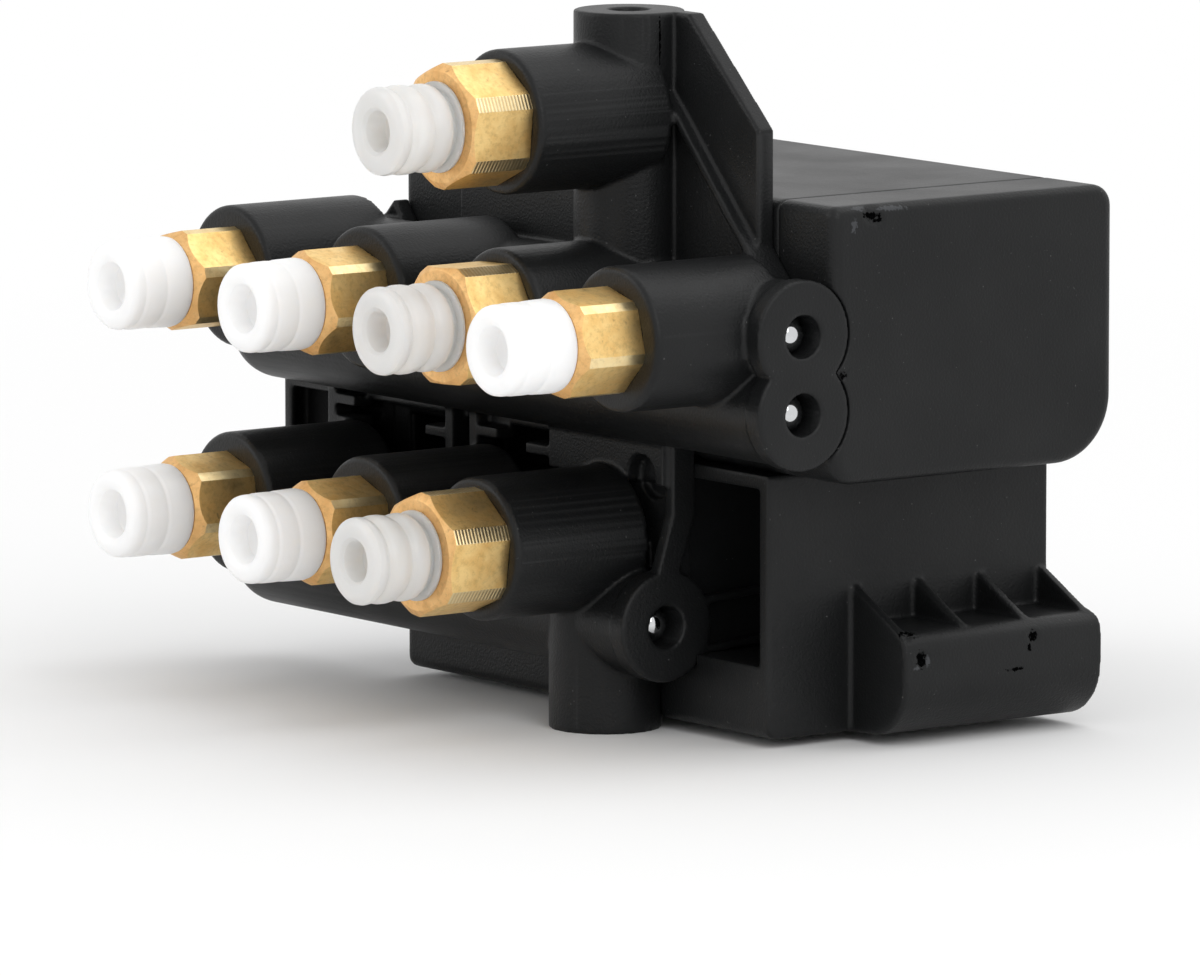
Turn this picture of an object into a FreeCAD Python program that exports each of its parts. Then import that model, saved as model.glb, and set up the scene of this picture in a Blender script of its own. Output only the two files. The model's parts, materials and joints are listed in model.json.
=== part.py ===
import FreeCAD, Part
import math
import os

import Sketcher
from FreeCAD import Placement, Rotation, Vector

# Air suspension valve block.
# X runs along the ports and points to the end with the ball plugs, -Y is the way the ports face,
# and Z is up. X = 0 and Y = 0 is the axis of the tower, Z = 0 is the end of the lower stub.

SIZES = {
    # port rows
    "port_step": 24.0,
    "near_port_step": 19.8,
    "lower_row_shift": 4.1,
    "bottom_port_height": 20.1,
    "middle_port_rise": 24.2,
    "top_port_rise": 20.5,
    "tower_rise": 10.7,
    "boss_radius": 7.5,
    "boss_reach": 16.9,
    "boss_edge": 0.4,
    # galleries, ball plugs, tower and stub
    "gallery_radius": 5.8,
    "gallery_spacing": 8.05,
    "lower_gallery_height": 11.7,
    "gallery_near_end": 29.7,
    "lower_gallery_near_end": 6.6,
    "gallery_far_end": 67.8,
    "gallery_neck": 0.3,
    "end_disc_length": 2.3,
    "gallery_bore_radius": 1.6,
    "passage_radius": 1.2,
    "link_radius": 1.0,
    "passage_offset": 2.0,
    "ball_radius": 2.2,
    "ball_depth": 3.7,
    "ball_bore_depth": 5.4,
    "tower_radius": 5.75,
    "tower_hole_radius": 2.1,
    "tower_hole_depth": 8.0,
    "stub_radius": 5.9,
    # web plate that ties the galleries, and its ribs
    "web_back": 3.7,
    "web_thickness": 2.0,
    "web_far_end": 64.4,
    "web_near_end": 5.8,
    "web_crest": 7.9,
    "web_shoulder": 19.8,
    "web_shoulder_rise": 20.1,
    "web_fairing_end": 46.3,
    "web_fairing_rise": 5.1,
    "web_fairing_step": 2.2,
    "web_ledge_rise": 4.4,
    "web_left_end": 32.1,
    "web_left_rise": 11.9,
    "window_far_end": 63.0,
    "window_drop": 6.7,
    "window_height": 7.8,
    "window_back_width": 1.6,
    "window_pocket_depth": 12.0,
    "window_pocket_floor": 5.7,
    "rib_width": 1.4,
    "far_rib_place": 53.8,
    "middle_rib_place": 32.5,
    "near_rib_place": 28.1,
    "stub_drop": 8.35,
    "stub_step": 1.6,
    "stub_width": 1.2,
    "stub_length": 4.2,
    "beam_start": 14.0,
    "beam_drop": 10.05,
    "brace_height": 1.2,
    "brace_drop": 2.1,
    "brace_front": 0.2,
    "strap_width": 1.5,
    "strap_depth": 2.9,
    "strap_lean": 1.9,
    "strap_top_drop": 5.25,
    "strap_knee_rise": 11.4,
    "strap_foot_rise": 5.6,
    "dimple_radius": 2.4,
    "dimple_depth": 1.0,
    "dimple_place": 2.1,
    "dimple_drop": 9.4,
    "rear_web_rise": 2.6,
    "rear_web_slope": 0.7,
    "rear_web_width": 0.8,
    "rear_web_front": 3.5,
    # housings
    "housing_front": 3.7,
    "housing_rear": 40.6,
    "housing_far_end": 44.9,
    "end_cap_length": 9.2,
    "upper_floor_drop": 15.8,
    "upper_top_rise": 12.95,
    "lower_near_end": 18.9,
    "lower_floor": 1.0,
    "housing_wall": 1.8,
    "front_wall": 3.5,
    "edge_radius": 1.2,
    "rear_top_radius": 2.2,
    "rear_corner_radius": 7.0,
    "floor_radius": 3.0,
    "housing_clearance": 0.1,
    # mounting bar at the foot of the lower housing
    "bar_start": 14.6,
    "bar_reach": 9.1,
    "bar_height": 11.2,
    "bar_radius": 6.0,
    "bar_top_radius": 2.0,
    "bar_gusset_rise": 4.1,
    "bar_gusset_inset": 1.4,
    "bar_gusset_step": 8.2,
    "bar_gusset_width": 1.0,
    # open recess beside the lower gallery's end
    "recess_wall": 1.5,
    "recess_floor": 8.5,
    "recess_roof": 1.5,
    "recess_end": 13.8,
    # port fittings
    "large_flats": 12.0,
    "large_corner_radius": 6.5,
    "large_face_radius": 5.8,
    "large_hex_length": 7.4,
    "large_stem_radius": 4.9,
    "large_tube_radius": 3.0,
    "large_collet_radius": 4.0,
    "small_flats": 10.0,
    "small_corner_radius": 5.4,
    "small_face_radius": 4.75,
    "small_hex_length": 7.8,
    "small_stem_radius": 3.9,
    "small_tube_radius": 2.0,
    "small_collet_radius": 3.0,
    "hex_chamfer": 1.1,
    "hex_chamfer_rise": 1.2,
    "stem_length": 8.5,
    "thread_clearance": 0.05,
    "collet_length": 2.4,
    "collet_depth": 3.0,
    "seal_section": 0.9,
    # transport caps
    "cap_reach": 7.7,
    "cap_flange_radius": 4.6,
    "cap_flange_width": 0.6,
    "cap_radius": 4.4,
    "cap_groove": 0.3,
    "cap_ring_start": 1.2,
    "cap_ring_step": 2.2,
    "cap_ring_width": 1.3,
    "cap_lip": 0.6,
    "cap_plug_length": 7.0,
    "cap_hole_radius": 1.5,
    "wide_cap_hole_radius": 2.5,
    "cap_hole_depth": 5.0,
    # solenoid valves
    "valve_far_offset": 34.5,
    "valve_step": 18.0,
    "lower_valve_height": 13.0,
    "coil_radius": 8.2,
    "coil_start": 9.2,
    "coil_length": 20.8,
    "bobbin_flange": 1.2,
    "winding_inset": 0.7,
    "plunger_radius": 4.0,
    "plunger_clearance": 0.1,
    "plunger_length": 10.4,
    "plunger_travel": 0.8,
    "valve_seal_radius": 2.4,
    "valve_seal_length": 1.2,
    "nozzle_radius": 2.0,
    "nozzle_bore_radius": 0.8,
    "nozzle_end": 8.2,
    "spring_radius": 1.6,
    "spring_wire": 0.25,
    "spring_coils": 4.0,
    "spring_pocket_depth": 4.0,
    "yoke_thickness": 1.5,
    "yoke_gap": 0.1,
    # electrical parts
    "board_thickness": 1.6,
    "board_gap": 0.5,
    "socket_width": 26.0,
    "socket_height": 13.0,
    "socket_length": 12.0,
    "socket_wall": 1.5,
    "socket_place": 18.0,
    "pin_width": 0.8,
    "pin_inset": 2.0,
    "pin_row_inset": 1.6,
    "pin_step": 5.0,
    "pin_row_step": 4.6,
    "pin_reach": 8.0,
    "sensor_radius": 4.4,
    "sensor_length": 7.5,
    "sensor_tip_radius": 3.1,
    "sensor_tip_length": 2.2,
    "sensor_port_depth": 3.7,
    "sensor_place": 1.6,
}

TURN = {
    "+x": Rotation(Vector(0, 1, 0), 90),
    "-x": Rotation(Vector(0, 1, 0), -90),
    "+y": Rotation(Vector(1, 0, 0), -90),
    "-y": Rotation(Vector(1, 0, 0), 90),
    "+z": Rotation(),
    "-z": Rotation(Vector(1, 0, 0), 180),
}


class Size:
    """A length that carries its number and the sheet expression that gives it."""

    def __init__(self, value, text):
        self.value = value
        self.text = text

    def __add__(self, other):
        return Size(self.value + number(other), f"({self.text} + {words(other)})")

    def __radd__(self, other):
        return Size(number(other) + self.value, f"({words(other)} + {self.text})")

    def __sub__(self, other):
        return Size(self.value - number(other), f"({self.text} - {words(other)})")

    def __rsub__(self, other):
        return Size(number(other) - self.value, f"({words(other)} - {self.text})")

    def __mul__(self, other):
        return Size(self.value * number(other), f"({self.text} * {words(other)})")

    def __rmul__(self, other):
        return self.__mul__(other)

    def __truediv__(self, other):
        return Size(self.value / number(other), f"({self.text} / {words(other)})")

    def __neg__(self):
        return Size(-self.value, f"(0 - {self.text})")


def number(item):
    return item.value if isinstance(item, Size) else item


def words(item):
    return item.text if isinstance(item, Size) else repr(item)


class Sheet:
    """The driving dimensions, each one a plain number in a cell with an alias."""

    def __init__(self, document, sizes):
        cells = document.addObject("Spreadsheet::Sheet", "Sizes")
        for row, (name, value) in enumerate(sizes.items(), start=1):
            cells.set(f"A{row}", name)
            cells.set(f"B{row}", str(value))
            cells.setAlias(f"B{row}", name)
            setattr(self, name, Size(value, "Sizes." + name))


doc = FreeCAD.newDocument("ValveBlock")
s = Sheet(doc, SIZES)
doc.recompute()
nodes = []


# Building blocks bound to the sheet

def bind(item, name, size):
    setattr(item, name, number(size))
    if isinstance(size, Size):
        item.setExpression(name, size.text)


def place(item, point, turn="+z", spin=0):
    base = Vector(*(number(coordinate) for coordinate in point))
    item.Placement = Placement(base, TURN[turn] * Rotation(Vector(0, 0, 1), spin))
    for axis, coordinate in zip("xyz", point):
        if isinstance(coordinate, Size):
            item.setExpression("Placement.Base." + axis, coordinate.text)


def rod(name, radius, length, point, turn):
    item = doc.addObject("Part::Cylinder", name)
    bind(item, "Radius", radius)
    bind(item, "Height", length)
    place(item, point, turn)
    return item


def cone(name, first_radius, last_radius, length, point, turn):
    item = doc.addObject("Part::Cone", name)
    bind(item, "Radius1", first_radius)
    bind(item, "Radius2", last_radius)
    bind(item, "Height", length)
    place(item, point, turn)
    return item


def box(name, low, high):
    item = doc.addObject("Part::Box", name)
    for side, first, last in zip(("Length", "Width", "Height"), low, high):
        bind(item, side, last - first)
    place(item, low)
    return item


def ball(name, radius, point):
    item = doc.addObject("Part::Sphere", name)
    bind(item, "Radius", radius)
    place(item, point, "+x")
    return item


def hexagon(name, across_flats, length, point, turn, spin):
    item = doc.addObject("Part::Prism", name)
    item.Polygon = 6
    bind(item, "Circumradius", across_flats / math.sqrt(3))
    bind(item, "Height", length)
    place(item, point, turn, spin)
    return item


def join(name, pieces):
    item = doc.addObject("Part::MultiFuse", name)
    item.Shapes = pieces
    item.Refine = True
    return item


def common(name, pieces):
    item = doc.addObject("Part::MultiCommon", name)
    item.Shapes = pieces
    item.Refine = True
    return item


def cut(name, base, tools):
    item = doc.addObject("Part::Cut", name)
    item.Base = base
    item.Tool = tools[0] if len(tools) == 1 else join(name + "Tools", tools)
    item.Refine = True
    return item


def group(name, pieces):
    item = doc.addObject("Part::Compound", name)
    item.Links = pieces
    return item


def node(label, item):
    item.Label = label
    nodes.append(item)
    return item


# Sketched bodies

def plane_of(body, role):
    return next(item for item in body.Origin.OriginFeatures if item.Role == role)


def new_body(name):
    return doc.addObject("PartDesign::Body", name)


def sketch_on(body, role, offset=0):
    sketch = body.newObject("Sketcher::SketchObject", body.Name + "Sketch")
    sketch.AttachmentSupport = [(plane_of(body, role), "")]
    sketch.MapMode = "FlatFace"
    sketch.AttachmentOffset = Placement(Vector(0, 0, number(offset)), Rotation())
    if isinstance(offset, Size):
        sketch.setExpression("AttachmentOffset.Base.z", offset.text)
    return sketch


def draw(sketch, points):
    """Closed outline whose every corner is held by two distances from the origin."""
    corners = [Vector(number(x), number(y), 0) for x, y in points]
    for index, corner in enumerate(corners):
        following = corners[(index + 1) % len(corners)]
        sketch.addGeometry(Part.LineSegment(corner, following), False)
    for index, (x, y) in enumerate(points):
        before = (index - 1) % len(points)
        sketch.addConstraint(Sketcher.Constraint("Coincident", before, 2, index, 1))
        for kind, distance in (("DistanceX", x), ("DistanceY", y)):
            rule = Sketcher.Constraint(kind, -1, 1, index, 1, number(distance))
            place_in_list = sketch.addConstraint(rule)
            if isinstance(distance, Size):
                sketch.setExpression(f"Constraints[{place_in_list}]", distance.text)


def pad(body, sketch, length):
    item = body.newObject("PartDesign::Pad", body.Name + "Pad")
    item.Profile = sketch
    bind(item, "Length", length)
    return item


def turned(name, points):
    """Turned piece: an outline of radius and height, swept about the body's own Z."""
    body = new_body(name)
    sketch = sketch_on(body, "XZ_Plane")
    draw(sketch, points)
    item = body.newObject("PartDesign::Revolution", name + "Turn")
    item.Profile = sketch
    item.ReferenceAxis = (sketch, ["V_Axis"])
    item.Angle = 360
    return body


def round_edges(body, base, radius, chosen):
    """Round the straight edges of the body that the chosen test accepts."""
    doc.recompute()
    names = []
    for index, edge in enumerate(base.Shape.Edges, start=1):
        ends = [vertex.Point for vertex in edge.Vertexes]
        if len(ends) == 2 and chosen(ends[0], ends[1]):
            names.append(f"Edge{index}")
    item = body.newObject("PartDesign::Fillet", body.Name + "Fillet")
    item.Base = (base, names)
    bind(item, "Radius", radius)
    return item


def close(first, second):
    return abs(first - number(second)) < 1e-4


def along_x(y, z):
    def chosen(start, end):
        return all(close(point.y, y) and close(point.z, z) for point in (start, end))
    return chosen


def along_y(x, z):
    def chosen(start, end):
        return all(close(point.x, x) and close(point.z, z) for point in (start, end))
    return chosen


def rectangle(low, high):
    return [(low[0], low[1]), (high[0], low[1]), (high[0], high[1]), (low[0], high[1])]


# Places that several pieces share

middle_port_height = s.bottom_port_height + s.middle_port_rise
top_port_height = middle_port_height + s.top_port_rise
tower_height = top_port_height + s.tower_rise
upper_gallery = middle_port_height
second_gallery = middle_port_height - s.gallery_spacing
upper_floor = middle_port_height - s.upper_floor_drop
upper_top = middle_port_height + s.upper_top_rise
socket_level = middle_port_height
stub_height = second_gallery - s.stub_drop
window_top = second_gallery - s.window_drop
window_floor = window_top - s.window_height
pocket_floor = upper_floor - s.window_pocket_floor
far_end = -s.housing_far_end
web_front = s.web_back - s.web_thickness
cavity_front = s.housing_front + s.front_wall
cavity_rear = s.housing_rear - s.housing_wall
cap_joint = s.gallery_near_end - s.end_cap_length
strap_start = s.lower_gallery_near_end - s.strap_width - s.housing_clearance
recess_start = strap_start - s.housing_clearance
lower_hollow = (
    (far_end + s.housing_wall, cavity_front, s.lower_floor + s.housing_wall),
    (recess_start - s.housing_wall, cavity_rear, pocket_floor - s.housing_wall / 2),
)

# name, X, height, whether the fitting is the large kind, turn of its hexagon, and whether
# its passage opens into the upper gallery
ports = (
    ("top", 0, top_port_height, True, 24, False),
    ("middle_1", s.near_port_step, middle_port_height, False, 45, True),
    ("middle_2", 0, middle_port_height, True, 2, True),
    ("middle_3", -s.port_step, middle_port_height, False, 43, True),
    ("middle_4", -s.port_step * 2, middle_port_height, False, 14, True),
    ("bottom_1", -s.lower_row_shift, s.bottom_port_height, True, 22, False),
    ("bottom_2", -s.port_step, s.bottom_port_height, False, 39, False),
    ("bottom_3", -s.port_step * 2, s.bottom_port_height, False, 42, False),
)

galleries = (
    ("upper", upper_gallery, s.gallery_near_end),
    ("second", second_gallery, s.gallery_near_end),
    ("lower", s.lower_gallery_height, s.lower_gallery_near_end),
)

# number, X and height of each solenoid valve, in two banks
upper_bank = (
    (1, -s.valve_far_offset + s.valve_step * 3, middle_port_height),
    (2, -s.valve_far_offset + s.valve_step * 2, middle_port_height),
    (3, -s.valve_far_offset + s.valve_step, middle_port_height),
    (4, -s.valve_far_offset, middle_port_height),
)
lower_bank = (
    (5, -s.valve_far_offset + s.valve_step, s.lower_valve_height),
    (6, -s.valve_far_offset, s.lower_valve_height),
)

nozzle_places = [(str(count), x, height) for count, x, height in upper_bank + lower_bank]
nozzle_places.append(("Sensor", -s.sensor_place, s.lower_valve_height))

# X of each upright rib in the window, heights of its stubs, and the side they stand on
window_rib_places = (
    (-s.far_rib_place, (stub_height + s.stub_step, stub_height - s.stub_step / 2), 1),
    (-s.middle_rib_place, (stub_height,), -1),
    (-s.near_rib_place, (stub_height + s.stub_step / 2,), 1),
)


# Manifold

def gallery_tube(name, height, near_end):
    """Tube with a flat end disc, a slimmer neck behind it and a domed far end."""
    radius = s.gallery_radius - s.gallery_neck
    neck_end = near_end - s.end_disc_length
    dome_centre = s.gallery_radius - s.gallery_far_end
    return [
        rod(name + "Tube", radius, neck_end - dome_centre, (dome_centre, 0, height), "+x"),
        rod(name + "Disc", s.gallery_radius, s.end_disc_length, (neck_end, 0, height), "+x"),
        ball(name + "Dome", radius, (dome_centre, 0, height)),
    ]


def boss(name, x, height):
    """Round port boss with the sharp edge of its mouth taken off."""
    return [
        rod(name, s.boss_radius, s.boss_reach - s.boss_edge, (x, 0, height), "-y"),
        cone(name + "Edge", s.boss_radius, s.boss_radius - s.boss_edge, s.boss_edge,
             (x, s.boss_edge - s.boss_reach, height), "-y"),
    ]


def port_seat(name, x, height, large, on_gallery):
    """Threaded seat for the fitting, a seal groove at its mouth, and a passage to the gallery."""
    stem_radius = s.large_stem_radius if large else s.small_stem_radius
    seat = stem_radius + s.thread_clearance
    mouth = -s.boss_reach
    passage = s.boss_reach if on_gallery else s.boss_reach - s.passage_offset
    return [
        rod(name + "Seat", seat, s.stem_length + s.thread_clearance, (x, mouth, height), "+y"),
        rod(name + "Groove", seat + s.seal_section, s.seal_section, (x, mouth, height), "+y"),
        rod(name + "Passage", s.passage_radius, passage, (x, mouth, height), "+y"),
    ]


def web_plate():
    """Flat web behind the galleries, with the sloping crest beside the tower."""
    body = new_body("Web")
    sketch = sketch_on(body, "XZ_Plane", -s.web_back)
    draw(sketch, [
        (0, tower_height),
        (s.web_crest, tower_height),
        (s.web_shoulder, middle_port_height + s.web_shoulder_rise),
        (s.web_shoulder, upper_gallery),
        (s.web_near_end, second_gallery),
        (s.web_near_end, s.lower_gallery_height),
        (-s.web_far_end, s.lower_gallery_height),
        (-s.web_far_end, second_gallery),
        (-s.port_step * 2, upper_gallery),
        (-s.web_fairing_end, middle_port_height + s.web_fairing_rise),
        (s.web_fairing_step - s.web_fairing_end,
         middle_port_height + s.web_fairing_rise + s.web_fairing_step),
        (s.web_fairing_step * 2 - s.web_fairing_end, middle_port_height + s.web_ledge_rise),
        (-s.web_left_end, middle_port_height + s.web_ledge_rise),
        (-s.web_left_end, middle_port_height + s.web_left_rise),
        (-s.tower_radius, middle_port_height + s.web_left_rise),
    ])
    pad(body, sketch, s.web_thickness)
    window = box("Window", (-s.window_far_end, web_front - s.web_thickness, window_floor),
                 (-s.beam_start, s.web_back, window_top))
    dimple = rod("Dimple", s.dimple_radius, s.dimple_depth,
                 (s.dimple_place, web_front, second_gallery - s.dimple_drop), "+y")
    back = box("WindowBack", (-s.web_far_end, s.web_back, window_floor - s.web_thickness),
               (far_end - s.housing_clearance, s.web_back + s.window_back_width,
                window_top + s.web_thickness))
    return join("WebAndBack", [cut("WebCut", body, [window, dimple]), back])


def window_ribs():
    """Upright ribs with short stubs that stand in the window between the port rows."""
    pieces = []
    for count, (place_x, stub_heights, side) in enumerate(window_rib_places):
        pieces.append(box(f"Rib{count}", (place_x, 0, s.lower_gallery_height),
                          (place_x + s.rib_width, s.web_back, second_gallery)))
        for row, height in enumerate(stub_heights):
            first = place_x + s.rib_width / 2 - (0 if side > 0 else s.stub_length)
            pieces.append(box(f"Stub{count}{row}", (first, 0, height - s.stub_width / 2),
                              (first + s.stub_length, s.web_back, height + s.stub_width / 2)))
    beam = box("BeamBlank", (-s.beam_start, 0, second_gallery - s.beam_drop),
               (s.web_near_end, s.web_back, second_gallery))
    hollow = rod("BeamDimple", s.dimple_radius, s.web_back / 2,
                 (s.dimple_place, 0, second_gallery - s.dimple_drop), "+y")
    pieces.append(cut("Beam", beam, [hollow]))
    pieces.append(box("BeamStub", (-s.beam_start - s.stub_length, 0, stub_height - s.stub_width / 2),
                      (-s.beam_start + s.stub_width, s.web_back, stub_height + s.stub_width / 2)))
    return pieces


def brace():
    """Narrow wall that runs down from the tower to the end of the upper gallery."""
    body = new_body("Brace")
    sketch = sketch_on(body, "XZ_Plane", -s.web_back)
    top = tower_height - s.brace_drop
    run = s.gallery_near_end - s.end_disc_length
    draw(sketch, [
        (0, top),
        (run, upper_gallery),
        (run, upper_gallery - s.brace_height),
        (0, top - s.brace_height),
    ])
    pad(body, sketch, s.web_back - s.brace_front)
    return body


def strap():
    """Wall at the near end of the web, bent forward to the lower gallery."""
    body = new_body("Strap")
    front = s.web_back - s.strap_depth
    top = second_gallery - s.strap_top_drop
    knee = s.lower_gallery_height + s.strap_knee_rise
    foot = s.lower_gallery_height + s.strap_foot_rise
    sketch = sketch_on(body, "YZ_Plane", strap_start)
    draw(sketch, [
        (front, top),
        (s.web_back, top),
        (s.web_back, knee),
        (s.web_back - s.strap_lean, foot),
        (front - s.strap_lean, foot),
        (front, knee),
    ])
    pad(body, sketch, s.strap_width)
    return body


def rear_webs():
    """Two thin sloping webs from the lower gallery back to the lower housing."""
    pieces = []
    for name, side in (("HighWeb", 1), ("LowWeb", -1)):
        body = new_body(name)
        height = s.lower_gallery_height + s.rear_web_rise * side
        sketch = sketch_on(body, "YZ_Plane", strap_start)
        draw(sketch, [
            (s.rear_web_front, height),
            (s.rear_web_front, height - s.rear_web_width),
            (s.recess_end - s.housing_clearance, height + s.rear_web_slope - s.rear_web_width),
            (s.recess_end - s.housing_clearance, height + s.rear_web_slope),
        ])
        pad(body, sketch, s.strap_width)
        pieces.append(body)
    return pieces


def gallery_drillings():
    holes = []
    for name, height, near_end in galleries:
        far = s.gallery_radius - s.gallery_far_end
        holes.append(rod(name + "Bore", s.gallery_bore_radius, near_end - far, (far, 0, height), "+x"))
        holes.append(rod(name + "BallBore", s.ball_radius, s.ball_bore_depth, (near_end, 0, height), "-x"))
    return holes


def port_drillings():
    """Seats and passages of all ports, with the upright links of the top and bottom ones."""
    holes = [
        rod("LinkTop", s.link_radius, s.top_port_rise, (0, -s.passage_offset, upper_gallery), "+z"),
        rod("TowerHole", s.tower_hole_radius, s.tower_hole_depth, (0, 0, tower_height), "-z"),
    ]
    for name, x, height, large, spin, on_gallery in ports:
        holes += port_seat("Port" + name, x, height, large, on_gallery)
        if name.startswith("bottom"):
            holes.append(rod("Link" + name, s.link_radius, height - s.lower_gallery_height,
                             (x, -s.passage_offset, s.lower_gallery_height), "+z"))
    return holes


def manifold():
    solids = [web_plate(), brace(), strap()] + window_ribs() + rear_webs()
    for name, height, near_end in galleries:
        solids += gallery_tube(name, height, near_end)
    solids.append(rod("Tower", s.tower_radius, tower_height - upper_gallery, (0, 0, upper_gallery), "+z"))
    solids.append(rod("Stub", s.stub_radius, s.bottom_port_height, (-s.lower_row_shift, 0, 0), "+z"))
    for name, x, height, large, spin, on_gallery in ports:
        solids += boss("Boss" + name, x, height)
    for name, x, height in nozzle_places:
        solids.append(rod("Nozzle" + name, s.nozzle_radius, s.nozzle_end - web_front,
                          (x, web_front, height), "+y"))
    bored = cut("ManifoldBored", join("ManifoldBlank", solids), gallery_drillings())
    drilled = cut("ManifoldDrilled", bored, port_drillings())
    nozzle_bores = [rod("NozzleBore" + name, s.nozzle_bore_radius, s.nozzle_end, (x, 0, height), "+y")
                    for name, x, height in nozzle_places]
    node("manifold", cut("Manifold", drilled, nozzle_bores))


def manifold_room(name):
    """Room in the housings for the galleries, the tower and the stub, with clearance."""
    gap = s.housing_clearance
    tools = []
    for gallery, height, near_end in galleries:
        start = -s.gallery_far_end
        tools.append(rod(name + gallery, s.gallery_radius + gap, near_end + gap - start,
                         (start, 0, height), "+x"))
    tools.append(rod(name + "Tower", s.tower_radius + gap, tower_height - upper_gallery,
                     (0, 0, upper_gallery), "+z"))
    tools.append(rod(name + "Stub", s.stub_radius + gap, s.bottom_port_height + gap,
                     (-s.lower_row_shift, 0, 0), "+z"))
    for place_name, x, height in nozzle_places:
        tools.append(rod(name + "Nozzle" + place_name, s.nozzle_radius + gap, s.nozzle_end,
                         (x, 0, height), "+y"))
    return tools


# Housings

def housing_block(name, floor, top, length, far):
    body = new_body(name)
    sketch = sketch_on(body, "YZ_Plane", far)
    draw(sketch, rectangle((s.housing_front, floor), (s.housing_rear, top)))
    return body, pad(body, sketch, length)


def upper_outline_rounds(body, feature):
    """Rounds of the upper housing's long edges."""
    rounds = (
        (s.rear_corner_radius, s.housing_rear, upper_floor),
        (s.rear_top_radius, s.housing_rear, upper_top),
        (s.floor_radius, s.housing_front, upper_floor),
        (s.edge_radius, s.housing_front, upper_top),
    )
    for radius, y, z in rounds:
        feature = round_edges(body, feature, radius, along_x(y, z))
    return feature


def round_end(body, feature, x):
    """Round the whole outline of an end face."""
    doc.recompute()
    names = []
    for index, edge in enumerate(feature.Shape.Edges, start=1):
        box_of_edge = edge.BoundBox
        if close(box_of_edge.XMin, x) and close(box_of_edge.XMax, x):
            names.append(f"Edge{index}")
    item = body.newObject("PartDesign::Fillet", body.Name + "EndFillet")
    item.Base = (feature, names)
    bind(item, "Radius", s.edge_radius)
    return item


def cavity(name, first, last, floor, top):
    """Inside of a housing, with its rear lower corner cut to follow the outside."""
    body = new_body(name)
    corner = s.rear_corner_radius - s.housing_wall
    sketch = sketch_on(body, "YZ_Plane", first)
    draw(sketch, [
        (cavity_front, floor + s.housing_wall),
        (cavity_rear - corner, floor + s.housing_wall),
        (cavity_rear, floor + s.housing_wall + corner),
        (cavity_rear, top - s.housing_wall),
        (cavity_front, top - s.housing_wall),
    ])
    pad(body, sketch, last - first)
    return body


def contact_pins(name):
    """Contact pins of the socket: out through the rear wall, and up to the board."""
    pins = []
    half = s.pin_width / 2
    board_top = upper_top - s.housing_wall - s.board_gap
    for column in range(4):
        for row in range(2):
            x = -s.socket_place + s.pin_step * (column - 1.5)
            z = socket_level + s.pin_row_step * (row - 0.5)
            inner = cavity_rear - s.pin_inset - s.pin_row_inset * (1 - row)
            tag = f"{name}{column}{row}"
            level = box(tag + "Level", (x - half, inner - half, z - half),
                        (x + half, s.housing_rear + s.pin_reach, z + half))
            upright = box(tag + "Upright", (x - half, inner - half, z - half),
                          (x + half, inner + half, board_top))
            pins.append(join(tag, [level, upright]))
    return pins


def upper_housing():
    far_part, feature = housing_block("UpperShell", upper_floor, upper_top,
                                      cap_joint - far_end, far_end)
    feature = upper_outline_rounds(far_part, feature)
    round_end(far_part, feature, far_end)
    half_width = s.socket_width / 2
    half_height = s.socket_height / 2
    socket = box("Socket", (-s.socket_place - half_width, cavity_rear, socket_level - half_height),
                 (-s.socket_place + half_width, s.housing_rear + s.socket_length,
                  socket_level + half_height))
    inside_width = half_width - s.socket_wall
    inside_height = half_height - s.socket_wall
    room = box("SocketRoom", (-s.socket_place - inside_width, s.housing_rear,
                              socket_level - inside_height),
               (-s.socket_place + inside_width, s.housing_rear + s.socket_length,
                socket_level + inside_height))
    tools = [cavity("UpperCavity", far_end + s.housing_wall, cap_joint, upper_floor, upper_top), room]
    tools += manifold_room("UpperRoom") + contact_pins("PinHole")
    blank = join("UpperBlank", [far_part, socket])
    return node("upper_housing", cut("UpperHousing", blank, tools))


def upper_end_cap():
    body, feature = housing_block("EndCapBlank", upper_floor, upper_top, s.end_cap_length, cap_joint)
    feature = upper_outline_rounds(body, feature)
    round_end(body, feature, s.gallery_near_end)
    inner = cavity("EndCapCavity", cap_joint, s.gallery_near_end - s.housing_wall,
                   upper_floor, upper_top)
    return node("upper_end_cap", cut("EndCap", body, [inner] + manifold_room("EndCapRoom")))


def mounting_bar():
    """Half-round bar along the foot of the lower housing, with gussets above it."""
    root = s.lower_near_end - s.housing_wall
    reach = s.lower_near_end + s.bar_reach
    top = s.lower_floor + s.bar_height
    body = new_body("Bar")
    sketch = sketch_on(body, "XZ_Plane", -s.housing_rear)
    draw(sketch, rectangle((root, s.lower_floor), (reach, top)))
    feature = pad(body, sketch, s.housing_rear - s.bar_start)
    feature = round_edges(body, feature, s.bar_radius, along_y(reach, s.lower_floor))
    round_edges(body, feature, s.bar_top_radius, along_y(reach, top))
    pieces = [body]
    for count in range(4):
        gusset = new_body(f"Gusset{count}")
        start = s.bar_start + s.bar_gusset_step * count
        sketch = sketch_on(gusset, "XZ_Plane", -start - s.bar_gusset_width)
        draw(sketch, [
            (root, top - s.bar_top_radius),
            (reach - s.bar_top_radius, top - s.bar_top_radius),
            (reach - s.bar_gusset_inset, top),
            (s.lower_near_end, top + s.bar_gusset_rise),
            (root, top + s.bar_gusset_rise),
        ])
        pad(gusset, sketch, s.bar_gusset_width)
        pieces.append(gusset)
    return pieces


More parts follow.
